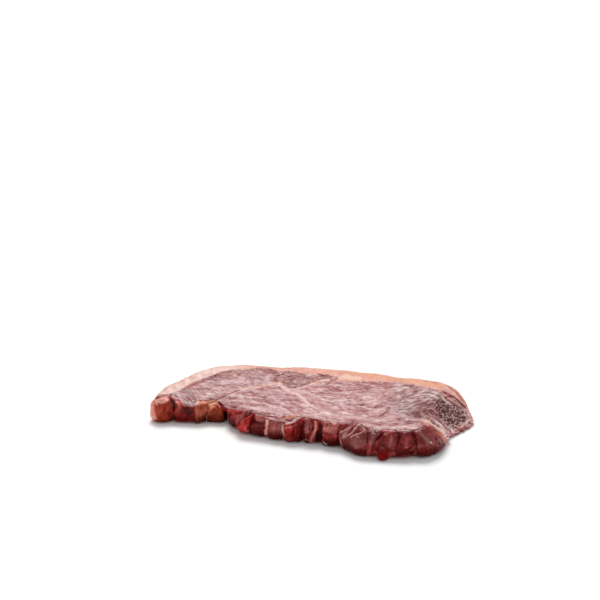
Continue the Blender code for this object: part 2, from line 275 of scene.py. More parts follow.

# Lobes of the front side, left to right: tone at the top, tone at the foot, how far it bulges in mm, outline.
# The foot tone is mostly darker: painted shade towards the foot; the sunk, darkest lobes are painted shadow.
WALL_ZONES = [
    ("knob_front", "knob_foot", 1.0, "151,399 171,395 172.6,405 172.4,424 150,426 149,405"),
    ("knob_left", "tan", 0.0, "148,399 153,398 155.8,403 154.6,410 157,418 151,421 148,412"),
    ("knob_top", "knob_top", 0.3, "155,398.6 166,395.6 168.4,400 163,403 157,402.4"),
    ("flesh", "recess", -1.2, "174,397 184,403 192,406 194.6,412 194,426 174,426"),
    ("recess", "foot_red", -0.4,
     "181,408.4 184,406.4 188,407.6 192,409 194.4,412.6 190,416.4 185,415 180.4,411.4"),
    ("tan_brown", "brown", 0.9, "193.6,406 196,401.6 208,401 208.4,412 204.6,426 194,426"),
    ("tan_top", "tan_top", 0.2, "195,402.8 200,401 211,400 208.6,404 202,405 196,405.4"),
    ("gusset", "brown", 1.2, "208.6,405 217,400.6 221,404 226,411 227.6,426 204.8,426"),
    ("gusset_top", "gusset_top", 0.2, "209.6,406.6 213,403 217.6,401.6 219,404.4 214.4,408.6 211,411"),
    ("flesh", "foot_red", 0.8,
     "219,402.6 228,408.6 238,409.6 247,410 247,417 240,421.4 236,427 229,430 227,415 222,408"),
    ("lobe_dark", "foot_red", -0.4, "227.6,412 231,413 236,418 236.6,425 233,428 228.6,425"),
    ("lobe_mid", "foot_red", 0.4, "236.6,414.6 245,413.4 246,417.4 241,420.4 237,421"),
    ("flesh_pale", "flesh", 0.9, "253.4,410.6 262,415.6 265.4,420.4 262.6,423 256,421 253,417.6"),
    ("lobe_dark", "foot_red", 0.4, "252.6,419 257,421.8 264.8,423.4 265.4,438 256,437 248.6,433 250,427"),
    ("lobe_red", "flap_red", 1.5,
     "253.6,411.6 254.6,415.6 252,420.6 249,427 248,433 238.4,431 237.4,425 243,419.6 249,415"),
    ("foot_dark", "foot_dark", -1.2, "247.4,410.4 253.8,410 251.6,414.4 247.6,417 246.2,414"),
    ("sinew", "sinew", 0.5, "265.6,419.2 269.4,420 268.8,425 267.8,431 267,437 264.6,436.6 265.4,428"),
    ("flesh_grey", "foot_red", 1.0,
     "269.6,420 284.8,421.6 283.6,428 282.6,434 282.8,443 266.8,440 268.6,430"),
    ("lobe_red", "deep_red", 1.0, "284.8,424.6 292,423.6 294.6,428 293,434 294,443 283.6,442.6 283,433"),
    ("deep_red", "foot_red", 1.4, "294.2,427 299,424.6 302,425 302.4,434 302,444 295,442.6 293,436"),
    ("flesh_grey", "lobe_dark", 0.9,
     "303.4,417.6 309.4,417.4 312.8,421 313.2,427 310.4,433.4 304.4,433.6"),
    ("flesh", "foot_red", 0.5, "303.6,434 309,434.6 309.8,445.6 304.4,444.8"),
    ("ridge_red", "flesh_pale", 1.0,
     "313,419.8 317.6,421.6 318.8,426 316.8,432 313.6,438 312.8,444.4 308.6,444.6 310.2,437 313.6,430 "
     "314,424"),
    ("wine_shadow", "foot_dark", -1.5, "318.8,423 322.4,425 321.6,434 321.4,447 313.4,446 314.8,438 318.4,430"),
    ("flesh_pale", "flesh", 0.7, "322.2,420 331,421 340.4,423 338.8,433.6 332,434.4 326,434 322.6,431"),
    ("flesh", "foot_red", 0.8, "321.6,433.4 327,433.4 332,434.4 338.4,433.6 339,448 330,448.6 322,445"),
    ("lobe_mid", "foot_red", 1.0,
     "338.8,436 339,429 341,424 346,421 352,419 360,420 367.6,428 368.4,436 367.4,446 366,457 352,456 "
     "342,449"),
    # painted highlight on the lobe's upper left
    ("lobe_highlight", "foot_red", 0.6, "342,436 346.6,430 352.4,426.6 350,432 347,437.6 343,438.4"),
    ("lobe_grey", "foot_red", 0.6,
     "350,437 356,433.6 366.6,430.6 367.4,440 361,447.4 352.6,446.4 349,441"),
    ("lobe_grey", "foot_red", 0.7, "368.8,431 375,428.4 383,430 381.4,435 376.4,439 373.4,445 369.4,446"),
    ("lobe_mid", "foot_red", 1.2,
     "383,433 389,431 395.4,431 399,436 397,444 393,451 386,454 378,453 374,446 377,440"),
    ("lobe_dark", "foot_red", 0.5,
     "396,431 412,430.6 415.2,440 416.2,448 412,455 396,456 395,448 399,438"),
    ("lobe_mid", "lobe_dark", 0.5, "401,432.6 409,432 412.6,438 412,446 405,448 401,441"),
    ("lobe_mid", "foot_red", 1.2,
     "412.4,430.6 418,427 425,425.6 434,429.6 441.6,436 446,444 442,452 430,457 417,456 416.4,446 "
     "415.4,439"),
    ("lobe_grey", "lobe_mid", 0.6, "417,432 424,430 429,436 433,443 426,446 420,438"),
]
WALL_ZONE_SOFTNESS = 1.3
# How far their borders wander, in pixels, and over what length in mm
BORDER_WANDER = 0.9
BORDER_LENGTH = 5.0
# How much of a lobe's tone reaches past the rim, on to the top
LOBE_ON_TOP = 0.25
# Where the lobes' tone at the top starts to give way to the one at the foot, painted shade lower down, and
# over what height, in mm
WALL_TONE_LOW = 4.5
WALL_TONE_RISE = 9.0
# The rim between the top and the front side, left to right
RIM_LINE = (
    "140,397 171,395 184,403 192,406 198,402 219,401 228,408.6 238,410 250,410.6 265,418 283,422 295,422 "
    "303,417 313,416.4 322,421.4 338,424.6 346,424 352,420.6 360,422 368,428 382,430.6 396,431.2 408,431 "
    "415,429.4 424,424.8 434,427.6 447,437 480,438"
)
RIM_SOFTNESS = 2.6
RIM_WANDER = 1.6
BULGE_REACH = 3.0
CREASE_DEPTH = 0.9
CREASE_WIDTH = 0.7
# Only lobes that bulge or sink by this many mm have a crease round them
LEAST_LOBE = 0.75

# Fibres that show as stripes: outline, the way they run in degrees (0 right, 90 down), width, length,
# colour, relief
FIBRES = [
    ("269,420 284.6,421 284.4,443 266.4,440", 98, 1.2, 9.0, 0.38, 0.22),
    ("252,417 265,420 265.4,437 250,434", 118, 1.3, 7.0, 0.26, 0.20),
    ("303.6,417 321.6,419 321.4,446 304,446", 96, 1.4, 7.0, 0.26, 0.22),
    ("338.8,424 352,419 368.6,427 368,456 340,450", 138, 2.0, 12.0, 0.22, 0.30),
    ("368.6,428 382,430 374,444 373,456 368,456", 118, 1.6, 9.0, 0.26, 0.26),
    ("384,431 416,431 416,456 376,456", 96, 1.8, 7.0, 0.26, 0.26),
    ("415.6,428 424,425 434,429 447,440 448,452 436,458 415.8,458", 52, 1.7, 12.0, 0.32, 0.30),
    ("284.6,424 301.6,422 302,445 284,445", 88, 1.5, 8.0, 0.20, 0.20),
    ("321.6,424 338.6,425 339,450 321,446", 100, 1.8, 6.0, 0.24, 0.24),
]
FIBRE_SOFTNESS = 0.8

# The way the top's folds run: middle, reach in pixels, turn in degrees (0 is to the right, 90 down)
FLOWS = [
    (188, 396, 14, 52),
    (215, 390, 26, 5),
    (248, 375, 30, 0),
    (236, 398, 20, -8),
    (268, 400, 26, 8),
    (300, 404, 22, 16),
    (335, 389, 34, 3),
    (345, 408, 30, 11),
    (385, 398, 26, -6),
    (418, 400, 24, -14),
    (396, 418, 24, 4),
    (440, 418, 20, 42),
]

# Right of this pixel the folds are deeper, with painted sheen on their rises and painted shade in their
# troughs, which comes in over this many pixels
RIGHT_FOLDS_FROM = 384
RIGHT_FOLDS_OVER = 20

# How flat a flow's reach is, and the least weight of a flow far from its middle
FLOW_FLATNESS = 3.0
LEAST_FLOW = 1e-4
# Height over which the patterns change, in mm
PATTERN_HEIGHT = 12.0

# How hard the edges of the long marks are and how strongly they are laid, and their width at the tips
TOP_HARDNESS = 2.4
TOP_FORCE = 0.9
WALL_HARDNESS = 1.7
WALL_FORCE = 0.8
TIP_WIDTH = 0.45

# Long marks on the top: tone, half width in pixels, relief in mm, strength, points. The pale, ridge, white
# and silvery marks are painted sheen and highlights; the fold, gap and other dark crease marks are painted
# shade in grooves.
TOP_LINES = [
    # under the fat cap
    ("seam", 0.7, -0.4, 0.6, "151.7,397.4 160.2,395.2 171,394.3"),
    ("fold_shade", 1.1, -0.3, 0.75, "189.8,385.2 194.7,382.6 199.5,381.2 205,379.4 211,377.4 217.7,374.6"),
    ("red", 1.9, -0.3, 0.7, "184,388.6 190,385.8 196,383 203,380.6 210,378 217,374.8"),
    ("line_red", 0.7, -0.4, 0.85, "211,377 217,374.6 226,371.4 234,370"),
    ("seam", 0.8, -0.5, 0.85, "248,370.2 253,369.2 259.6,368.3 266,368.9 276.2,371"),
    ("seam", 0.6, -0.4, 0.7, "283,371.7 289,372 297.9,373.3 305.6,375.4"),
    ("seam", 0.7, -0.6, 0.85, "318,374.4 321,375.1 324,376 326.8,377.4"),
    ("red", 0.9, -0.2, 0.75, "330.6,380.4 335.7,379.2 339.6,377.2"),
    # fat cap
    ("rose", 0.6, -0.4, 0.7, "152.4,395 158,391.6 165,388.6 172,385.6"),
    ("orange", 0.7, -0.3, 0.7, "171,384.4 178,381.4 186,378 192,375.6"),
    ("cap_orange", 1.3, 0.1, 0.85,
     "338.3,371.8 344.6,372.6 354.2,372.8 363.8,374.8 376.5,375.9 389.3,378 400,378.8"),
    ("cap_orange", 2.0, 0.1, 0.9, "396,378.6 406,379.8 415.3,381.6 427.4,384 436.5,385.4 445.6,386.4"),
    ("cap_wedge", 2.4, 0.3, 0.9, "339,377.6 346,377.6 353,378 362,378.8"),
    ("cream_orange", 1.5, 0.1, 0.7, "304,369.8 314,369.4 326,370 337,371.8"),
    ("seam", 0.6, -0.5, 0.75, "441.4,390.8 446.5,393 451.7,395.7 457.7,399.8 462,404 465,407.6"),
    ("cream", 0.7, 0.3, 0.7, "446,387 451,390.4 456,395 461,400"),
    ("salmon", 0.8, -0.4, 0.9, "448,386.6 454,391 459.6,396.4 464,401.6"),
    ("tan", 1.6, 0.0, 0.95, "465,402 469.4,409.4 472,415"),
    ("salmon", 0.8, -0.4, 0.8, "441,391 446,393.6 451,397.4 456,402"),
    ("deep_red", 0.5, -0.6, 0.8, "451,395 455,398 459,401.4 462,404"),
    ("gap", 0.6, -0.8, 0.9, "460,402 463,404.8 466,407.4"),
    ("strand_pale", 0.9, 0.4, 0.8, "441.6,392.6 447.4,396.8 453,401 459,405 464.6,409 468.6,413.6"),
    ("flesh_grey", 0.6, -0.5, 0.7, "443,396.4 449,400.6 455,404.8 461,408.4"),
    ("white", 0.7, 0.5, 0.8, "432,391.4 437,393 441.6,396 445.4,400.6 450.4,405"),
    ("crease_shade_grey", 0.5, -0.5, 0.8, "424,393 431,393 437,395 441,398.4"),
    ("white", 0.6, 0.4, 0.7, "422,394.8 429,394.6 435,396.6 439,399.6"),
    ("crease_shade_grey", 0.5, -0.5, 0.8, "422,397 429,396.8 434.6,399.2"),
    ("white", 0.55, 0.4, 0.7, "420,399 427,398.8 433,401.2 437,405"),
    ("crease_shade_grey", 0.5, -0.5, 0.7, "424,408.6 430,409.4 435.6,413.4 440,418.6"),
    ("white", 0.5, 0.4, 0.7, "422,410.4 428.6,411.4 434,415.4 438.8,420.6 443,426"),
    ("white", 0.5, 0.4, 0.7, "425,415.4 431,418 436,422 441,427.6"),
    # left muscle
    ("fold_shade", 0.8, -0.35, 0.75, "209.2,383 216.5,384.7 223.8,385.3 231,384.2 239.5,384.8 243.5,387"),
    ("fold_shade", 0.7, -0.35, 0.75, "192.9,388 197.7,388.8 204,388.8 210.5,388"),
    ("fold_shade", 0.6, -0.3, 0.7, "215,393.9 221,394.3 227.8,393.6"),
    ("fold_shade", 0.6, -0.25, 0.6, "243,381.8 250.7,383.4 259.6,383 263,384"),
    ("ridge", 0.7, 0.3, 0.7, "231.2,369.6 234,372.6 237.7,376.2 240.5,378.6"),
    ("ridge", 1.2, 0.2, 0.6, "216,380.8 228,380.8 240,381.6 252,385"),
    ("crease_shade_grey", 2.4, -0.5, 0.6, "182,389 187,392 191,396 194.6,399.8"),
    ("silver_sheen", 1.6, 0.4, 0.85, "178.4,396.2 184.4,401 188.6,404 194,404.8 198,402.6"),
    ("crease_shade_grey", 0.7, -0.3, 0.7, "184,396.4 189,400 193,402.8"),
    ("seam", 0.8, -0.4, 0.75, "173.6,395.2 178,397 182.6,398.6 186.4,401"),
    ("orange_red", 1.1, 0.0, 0.7, "174.8,397.6 178,400.4 181.4,403.4 184,405.6"),
    ("orange", 1.3, 0.3, 0.8, "196.5,403 203.2,402.2 209.2,401 216.5,399.8"),
    # seam between the left and the front muscle
    ("seam", 0.65, -0.8, 0.9,
     "208,400 213,399.4 221.4,398.5 224.4,396.6 229.8,394.2 235.5,391.6 241.8,389.2"),
    ("white", 0.8, 0.5, 0.75, "217.6,401 221,399.6 225,397.5 230,394.9 235.6,392.4 241.8,390.2"),
    ("cream_orange", 0.9, 0.4, 0.9, "243,388.6 248,388 253.3,387.6 262.8,386.3 269.8,384.5 279,383.6"),
    # dark muscle
    ("muscle_dark_deep", 0.9, -0.4, 0.85, "281.3,382 285.2,385 289.6,387 296,387.2"),
    ("cream", 0.85, 0.5, 0.85,
     "278.6,382.6 282.6,384.6 286,387 290,388.6 296,388.8 304.3,386.6 315,383.2"),
    ("cream_orange", 0.9, 0.4, 0.85, "311,384.4 315.9,382 325.5,379.6 330,380"),
    # front muscle
    ("fold_shade", 0.8, -0.4, 0.75, "239.2,393.9 250.7,395.2 259.6,395.9 266,398.2 272.4,399"),
    ("seam", 0.5, -0.4, 0.7, "272.4,399.2 280,399.5 288,399.9 294.7,399.6 298.8,399.2"),
    ("fold_shade", 0.9, -0.3, 0.7, "246.3,403.5 251,403.8 255.8,404.1 260.9,406"),
    ("ridge", 1.5, 0.4, 0.75, "238,406 246,407 253.3,408 263.5,409.8 269.8,412 277,412.4"),
    ("seam", 0.6, -0.5, 0.75, "284.5,406 288.3,409.2 291.5,412.4 296,414.5"),
    ("red", 0.8, -0.5, 0.75, "266,413.6 270,413.8 275.4,413"),
    ("red", 1.0, -0.3, 0.75, "271,416.6 277,417.4 283.6,419"),
    ("orange", 1.1, 0.3, 0.9, "284,417 288,416.8 292,417 296.6,415.8"),
    ("red", 1.1, -0.5, 0.85, "285.6,419.8 289,420.4 293,419.6"),
    ("cream", 0.6, 0.3, 0.7, "285,423.9 289,423.2 294.1,421.4 296.6,419.4 300,417.4 304.8,415.6"),
    # cream band between the front and the right muscle
    ("cream", 1.6, 0.5, 0.95, "279,384.4 284,388.4 290,391.6 297.9,394.5"),
    ("cream", 1.8, 0.5, 0.85, "296,394 301,396.6 304.6,399.6 308,403.8 312.8,407"),
    ("cream", 1.4, 0.4, 0.65, "311,406.4 317,409.4 323,412.2 330,414.4"),
    ("seam", 0.65, -0.6, 0.7, "309.6,406.7 312.4,408 315.3,410 319.8,412.6"),
    # right muscle
    ("pale", 0.7, 0.3, 0.6, "300,391.6 307.7,392.4 314,394.6 319.1,397.1 325,400"),
    ("rose", 1.3, -0.2, 0.8, "308,399.6 314,401.4 320,402.6"),
    ("fold_shade", 0.8, -0.3, 0.6, "346,397.4 354,398.2 362,397.2"),
    ("pale", 1.4, 0.2, 0.55, "322,399.4 334,401 346,402 356,402.6"),
    ("fold_shade", 1.1, -0.4, 0.7, "360.5,405 365,404.2 369.5,403.6"),
    ("red", 1.1, -0.6, 0.8, "375.6,406.2 378,406 381.4,405.4"),
    ("seam", 0.85, -1.0, 0.9, "389.5,407.2 387.4,411 383,414.2 379.1,416.4"),
    ("red", 0.8, -0.4, 0.75, "360.4,411 365,412.2 369.4,413.8"),
    ("pale", 1.3, 0.5, 0.7, "373,411.6 378,411.4 384,408"),
    ("pale", 1.5, 0.4, 0.5, "326,413 338,414.8 350,416.2 362,418 374,420 386,420.4"),
    ("crease_shade_grey", 0.6, -0.3, 0.7, "388.6,400.4 396,399.6 405,399.9"),
    ("pale", 0.8, 0.4, 0.7, "418,390.4 424,391 432,391"),
    ("pale", 1.1, 0.4, 0.65, "413,397 418,395.4 423.6,396.8"),
    ("pale", 0.6, 0.4, 0.7, "426,397 432,396.2 437.6,397.4"),
    ("flesh_grey", 1.0, -0.4, 0.75, "429.6,405.2 434,403.8 438.6,403.6"),
    ("fold_shade", 1.6, -0.2, 0.7, "418,410.6 424,410.2 428.6,411"),
    ("cream", 0.9, 0.2, 0.8, "397.6,428.6 401,427.4 405,426.6 410,427.6 416,428.4"),
    ("flesh_grey", 0.7, -0.5, 0.7, "429,411 434,414.6 439,420 443,425.6"),
    ("pale", 0.7, 0.4, 0.7, "432,418 436.6,421.4 441,426.4 445,432"),
    # rim of the front lobe at the right, and the spots on it
    ("orange_red", 1.3, 0.3, 0.95, "420.6,425 422,423.4 423.4,423.6"),
    ("cap_wedge", 0.9, 0.4, 0.8, "424,422 427,421.8 431,423"),
    ("seam", 0.9, -0.4, 0.8, "426,423.6 427.4,426 430,427.6"),
    ("salmon", 1.0, 0.3, 0.8, "428,424.8 431.4,427.2 434.4,430 436.8,433.6"),
    ("cream", 1.2, 0.5, 0.85, "431,424.2 435.6,426.6 439.5,429.8 443,433 445.8,436.6"),
    ("tan", 1.8, 0.3, 0.8, "437,431 441,434.6 444.4,439.2 445.4,444"),
    ("gap", 0.7, -0.8, 0.7, "446.6,431.4 448,435 449.2,438"),
    # flap
    ("silver_sheen", 1.3, 0.5, 0.9, "463.4,425.6 466.4,423.4 468.6,420.6 471.6,420.4"),
    ("pale", 0.8, 0.4, 0.8, "451,428 453.4,431 457,429.4"),
    ("red", 1.3, 0.4, 0.9, "448.6,433.6 451.6,434.8 455,433"),
    ("red", 1.1, 0.2, 0.85, "454.6,432 458,430.4 463.8,428 469.6,426 473,423"),
    ("deep_red", 0.9, -0.2, 0.85, "456,433.6 462,430.6 467,428.6 472.6,425.6"),
    ("rose", 1.0, 0.2, 0.7, "470.6,414.4 473,418 474,421"),
]

# Long marks on the front side, the same way. The cleft, gap and dark foot-tone marks are painted shadow and
# shade in the clefts and grooves; the pale marks and the light lobe marks are painted highlights.
WALL_LINES = [
    # knob at the left
    ("fat_pink", 0.9, 0.2, 0.8, "155.4,400.4 156.6,402.4 157.4,405.6"),
    ("fat_pink", 0.8, 0.2, 0.6, "157.8,402.4 162,403.2 165.4,401.6 168.4,401"),
    ("cleft_shadow", 1.3, -3.4, 0.95, "172,398.4 173,402 173.4,407 172.6,411.4"),
    ("gap", 0.9, -2.2, 0.9, "172.6,411.4 173.2,417 173.2,423"),
    ("recess", 1.4, -0.6, 0.6, "175.4,403 176,409 176,415"),
    # recessed stretch beside it
    ("salmon", 1.3, 0.3, 0.8, "175.6,399 178,403 180,407"),
    ("fat_pink", 0.8, 0.2, 0.6, "179,400 183,404 186,405.6"),
    ("gap", 0.8, -0.5, 0.85, "182,406.4 184.6,407.4 187.4,406.8"),
    # tan lobe and the gusset
    ("tan", 0.7, 0.2, 0.3, "197,409 196.4,414 197.4,420"),
    ("gap", 0.5, -1.4, 0.85, "208,408 207.4,412 206.2,416 205,421.4"),
    # painted highlight along the gusset's left edge
    ("cap_wedge", 0.75, 0.5, 0.95, "208.6,406 209.6,404.2 213,402.8 217,401.2"),
    ("salmon", 0.6, 0.4, 0.9, "208.4,405.6 208.4,410 208.2,414 206.8,417.4 206.4,420"),
    ("bright_red", 0.8, -0.4, 0.95, "218,402.4 220.8,405.8 223.4,408.4 225.6,409.8"),
    ("foot_dark", 0.8, -0.3, 0.6, "220.6,406.8 222.4,411 223.6,417"),
    ("gap", 1.2, -3.2, 0.95, "224.4,412 226,415.4 226.8,420.6 227.2,424"),
    # dark and red lobes
    ("foot_red", 0.7, -0.5, 0.8, "236,413.4 239.6,414.2 243.6,412.8"),
    ("flesh_pale", 0.8, 0.3, 0.7, "238,417.4 241.4,415.8 244.6,416"),
    ("sinew", 0.6, 0.4, 0.8, "247,410.4 248,412.4 247.2,414.6"),
    ("salmon", 0.6, 0.4, 0.75, "253.6,412.6 248,416.8 242,420.6 238.4,424.6"),
    ("sinew", 0.6, 0.4, 0.85, "245,424.6 245.8,428 248,431.6"),
    ("salmon", 0.7, 0.2, 0.7, "239,430 242,430.4 246.4,431.8"),
    ("gap", 0.8, -1.2, 0.85, "253.6,417 251.6,421.6 249.8,427 249.2,432"),
    ("gap", 0.7, -0.6, 0.7, "252.6,420.6 256,422.2 261,422.8"),
    ("cream", 0.8, 0.4, 0.75, "266.2,420 267,422.4 267.6,424.6"),
    ("cream_orange", 0.5, 0.3, 0.55, "266.4,424 266,428 265.4,432 265,435.4"),
    ("cream_orange", 0.5, 0.4, 0.8, "283.6,424.6 282.8,429 282.8,434 283.4,439"),
    ("pale", 0.7, 0.3, 0.7, "284.8,424 288.6,423.8 292.4,422.4"),
    ("sinew", 0.7, 0.4, 0.8, "286,427.8 290,427.6 294,426.2 298.4,424.6"),
    ("gap", 0.5, -0.9, 0.7, "294,428.4 292.6,433 293,440"),
    ("cleft_shadow", 1.0, -3.6, 0.95, "302.4,421.4 302.8,427 303,434 303.2,444"),
    ("gap", 1.0, -0.8, 0.85, "309.8,427.4 309.2,430.4"),
    ("salmon", 0.8, 0.3, 0.8, "305.4,438.8 307.8,441"),
    ("gap", 0.5, -0.8, 0.75, "311,420.4 313.2,424.4 312.4,430 309.6,434.6 309,441"),
    ("sinew", 0.7, 0.3, 0.6, "315.4,422.6 316.4,426.6 314.4,432 311.8,437.6 311,442"),
    ("gap", 1.3, -1.8, 0.5, "319.6,430 318.2,437 317.8,444"),
    ("sinew", 0.7, 0.4, 0.75, "323.4,430 327,428.6 332,428.2 337,428.4"),
    ("pale", 0.5, 0.3, 0.7, "322,440 324,442.2 327.4,444.2"),
    ("gap", 0.6, -1.0, 0.75, "337.8,431 338,438 338.8,445"),
    # broad lobe right of the middle
    ("strand_pale", 0.6, 0.4, 0.9, "339.4,433 338.8,437 339.9,441.4 342.4,446"),
    ("strand_pale", 0.6, 0.4, 0.75, "340.4,433.4 344,431 348.4,429.8"),
    ("lobe_dark", 0.6, -0.6, 0.7, "343,431.6 347.6,427 352,423.4"),
    ("strand_pale", 0.7, 0.5, 0.9, "349.4,436 353,432.4 357,427.6 361,423.6"),
    ("lobe_dark", 0.6, -0.7, 0.7, "347.4,434.6 351.4,430 355,425.6"),
    ("strand_pale", 0.6, 0.4, 0.8, "351,437.6 356,435.4 361,433.6 367,430.2"),
    ("rose", 1.1, 0.3, 0.6, "345,424.6 350,421.8 356,420.2"),
    ("gap", 0.6, -0.9, 0.75, "368.2,432 367.6,438 367.4,444"),
    # lobes by the drop
    ("gap", 0.8, -1.6, 0.9, "383.4,433 377.4,438.6 373.8,443.8 373,452"),
    ("lobe_highlight", 0.8, 0.3, 0.7, "370.6,444.6 371.4,439 374,435.6"),
    ("red", 0.9, 0.3, 0.85, "384.4,433.8 387,432.4 391,432.2 395,432.8"),
    ("foot_dark", 1.0, -0.6, 0.6, "384,436.4 383,442 382.6,448"),
    ("lobe_highlight", 2.1, 0.4, 0.65, "391.4,436.6 391.2,441 389.4,446.4"),
    ("gap", 0.7, -0.9, 0.8, "411.6,432 414.6,436.6 416,442 416,448"),
    ("flesh_pale", 0.6, 0.3, 0.8, "408.8,450.6 412.6,449 415.8,446.4"),
    # lobe at the right end
    ("lobe_highlight", 1.3, 0.3, 0.7, "414,431.4 419.4,434 424,437.2 427.8,441.6"),
    ("foot_dark", 1.5, -0.4, 0.7, "418.6,439.4 422,441.6 425.4,443.6"),
    ("lobe_highlight", 1.2, 0.3, 0.6, "426.6,428 431.6,431.8 436,436 440.6,443"),
    ("lobe_dark", 0.8, -0.5, 0.8, "421,431.6 425.6,434.6 430,439.6"),
    ("foot_dark", 1.0, -0.5, 0.8, "433.6,437.4 437,441 439,445.6"),
    ("gap", 0.5, -0.6, 0.6, "429.4,429 434.4,433.4 438.6,438.6"),
]

# Round marks: middle, half length, half width, turn in degrees, tone, strength, relief in mm
SPOTS = [
    (210.4, 378.5, 1.8, 0.9, 0, "deep_red", 0.85, -0.5),
    (258.4, 373.5, 1.8, 0.7, 10, "flesh_grey", 0.7, -0.3),
    (250.7, 377.2, 1.6, 0.7, -10, "flesh_grey", 0.75, -0.3),
    (270.5, 378.9, 1.4, 0.7, 0, "flesh_grey", 0.7, -0.3),
    (240.0, 372.8, 4.0, 1.3, 0, "muscle_dark", 0.6, -0.3),
    (289.0, 372.0, 1.3, 0.7, 0, "deep_red", 0.7, -0.4),
    (442.4, 402.2, 2.4, 1.4, 15, "deep_red", 0.7, -0.6),
    (382.6, 455.8, 6.0, 4.6, -20, "drop_red", 0.97, 0.6),
    (384.6, 458.4, 3.6, 2.6, 0, "drop_red", 0.97, 0.4),
    (386.6, 452.6, 4.0, 1.6, -24, "deep_red", 0.7, 0.3),
    # The next four are painted glints.
    (430.2, 441.9, 1.0, 0.6, 20, "pale", 0.85, 0.3),
    (406.6, 419.6, 1.6, 0.8, 0, "white", 0.7, 0.2),
    (412.8, 428.4, 1.6, 1.0, 0, "white", 0.7, 0.3),
    (291.4, 371.6, 1.8, 0.7, 0, "white", 0.8, 0.3),
    (171.0, 395.0, 1.4, 1.0, 0, "deep_red", 0.75, -0.6),
]


def seen_to_light(tone):
    """A colour of the 0 to 255 scale as linear light."""
    c = np.asarray(tone, float) / 255.0
    return np.where(c <= 0.04045, c / 12.92, ((c + 0.055) / 1.055) ** 2.4)


def ease(x):
    """0 below 0, 1 above 1, and smooth between."""
    x = np.clip(x, 0.0, 1.0)
    return x * x * (3.0 - 2.0 * x)


def pixels(text):
    """Points from text of x,y pairs."""
    return np.array([pair.split(",") for pair in text.split()], float)


def unit(vector):
    """The vector at length 1."""
    return np.array(vector) / np.linalg.norm(vector)


def rotated(x, y, degrees):
    """Coordinates along and across a direction, 0 to the right and 90 down."""
    c = math.cos(math.radians(degrees))
    s = math.sin(math.radians(degrees))
    return x * c + y * s, y * c - x * s


def smooth_line(points, steps=5):
    """A smooth line through the points."""
    p = pixels(points)
    if len(p) < 3:
        return p
    ends = np.vstack([2 * p[0] - p[1], p, 2 * p[-1] - p[-2]])
    line = []
    for a, b, c, d in zip(ends[:-3], ends[1:-2], ends[2:-1], ends[3:]):
        for t in np.arange(steps) / steps:
            square = (2 * a - 5 * b + 4 * c - d) * t**2
            cube = (3 * b - a - 3 * c + d) * t**3
            line.append(0.5 * (2 * b + (c - a) * t + square + cube))
    line.append(p[-1])
    return np.array(line)


def off_segment(places, a, b):
    """Distance from each place to the line from a to b, and the share of it passed at the nearest point."""
    run = b - a
    share = np.clip((places - a) @ run / max(run @ run, TINY), 0.0, 1.0)
    return np.linalg.norm(places - a - share[:, None] * run, axis=1), share


def nearest(line, places):
    """Distance from each place to an open line, and how far along it the nearest point is, from 0 to 1."""
    best = np.full(len(places), FAR)
    along = np.zeros(len(places))
    steps = np.linalg.norm(np.diff(line, axis=0), axis=1)
    start = np.concatenate([[0.0], np.cumsum(steps)])
    for k, (a, b) in enumerate(zip(line[:-1], line[1:])):
        gap, share = off_segment(places, a, b)
        closer = gap < best
        best[closer] = gap[closer]
        along[closer] = (start[k] + share[closer] * steps[k]) / start[-1]
    return best, along


def inside_depth(outline, places):
    """Signed distance of each place from a closed outline, positive inside."""
    ring = pixels(outline)
    best = np.full(len(places), FAR)
    within = np.zeros(len(places), bool)
    x, y = places.T
    for a, b in zip(ring, np.roll(ring, -1, axis=0)):
        best = np.minimum(best, off_segment(places, a, b)[0])
        crosses = (a[1] > y) != (b[1] > y)
        rise = (b[1] - a[1]) or TINY
        within ^= crosses & (x < a[0] + (y - a[1]) / rise * (b[0] - a[0]))
    return np.where(within, best, -best)


def inside(outline, places, softness):
    """1 inside an outline and 0 outside, with an edge as soft as that to each side, in pixels."""
    return ease(0.5 + inside_depth(outline, places) / (2 * softness))


class Grain:
    """Smooth random fields over points, the same on every run."""

    def __init__(self, seed):
        random = np.random.default_rng(seed)
        self.order = np.tile(random.permutation(256), 3)
        slopes = random.normal(size=(256, 3))
        self.slopes = slopes / np.linalg.norm(slopes, axis=1)[:, None]
        self.jitter = random.random((256, 3))

    def pick(self, cell):
        """A number from 0 to 255 for each lattice cell."""
        c = cell & 255
        return self.order[self.order[self.order[c[:, 0]] + c[:, 1]] + c[:, 2]]

    def waves(self, points):
        """One field of rises and falls about a unit wide, from about -1 to 1."""
        base = np.floor(points).astype(int)
        part = points - base
        fade = part**3 * (part * (part * 6 - 15) + 10)
        total = np.zeros(len(points))
        for corner in range(8):
            step = np.array([corner & 1, corner >> 1 & 1, corner >> 2 & 1])
            slope = self.slopes[self.pick(base + step)]
            share = np.prod(np.where(step, fade, 1 - fade), axis=1)
            total += share * np.sum(slope * (part - step), axis=1)
        return total * WAVE_HEIGHT

    def layered(self, points, layers=3, gain=0.5):
        """Waves with finer and weaker ones on them."""
        total = np.zeros(len(points))
        weight = 1.0
        scale = 1.0
        for k in range(layers):
            total += weight * self.waves(points * scale + LAYER_SHIFT * k)
            weight *= gain
            scale *= LAYER_SCALE
        return total

    def cells(self, points):
        """Distance to the nearest and the second nearest of the scattered cell middles, a unit apart."""
        base = np.floor(points).astype(int)
        near = np.full(len(points), 9.0)
        second = np.full(len(points), 9.0)
        for i in (-1, 0, 1):
            for j in (-1, 0, 1):
                for k in (-1, 0, 1):
                    cell = base + np.array([i, j, k])
                    middle = cell + self.jitter[self.pick(cell)]
                    gap = np.linalg.norm(points - middle, axis=1)
                    second = np.minimum(second, np.maximum(near, gap))
                    near = np.minimum(near, gap)
        return near, second


